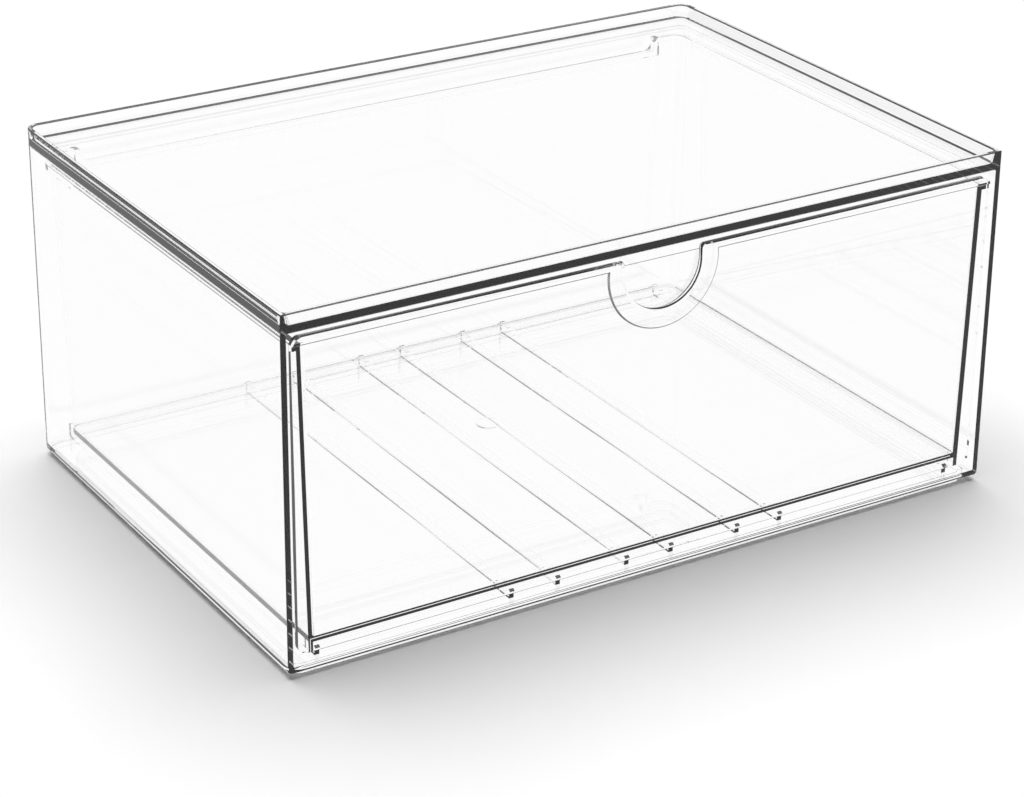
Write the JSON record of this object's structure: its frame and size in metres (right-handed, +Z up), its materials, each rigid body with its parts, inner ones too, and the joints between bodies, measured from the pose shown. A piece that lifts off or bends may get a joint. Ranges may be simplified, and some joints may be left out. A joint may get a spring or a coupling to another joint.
{
  "type": "stackable drawer box",
  "caption": "A clear plastic storage box with a rim on top for stacking, open at the front, holding one clear pull-out drawer with a round finger notch.",
  "frame": {"origin": "on the surface the box stands on, under the middle of the housing", "axes": "+X to the right along the front, +Y from the open front to the back, +Z up"},
  "size_m": [0.34, 0.234, 0.1535],
  "materials": {
    "clear_plastic": "clear injection moulded plastic, polished",
    "clear_plastic_drawer": "clear injection moulded plastic, polished"
  },
  "bodies": {
    "housing": {"housing": "clear_plastic"},
    "drawer": {"drawer": "clear_plastic_drawer"}
  },
  "joints": [
    {"name": "drawer_slide", "type": "slide", "parent": "housing", "child": "drawer", "axis": [0, -1, 0], "range_m": [0, 0.19]}
  ]
}
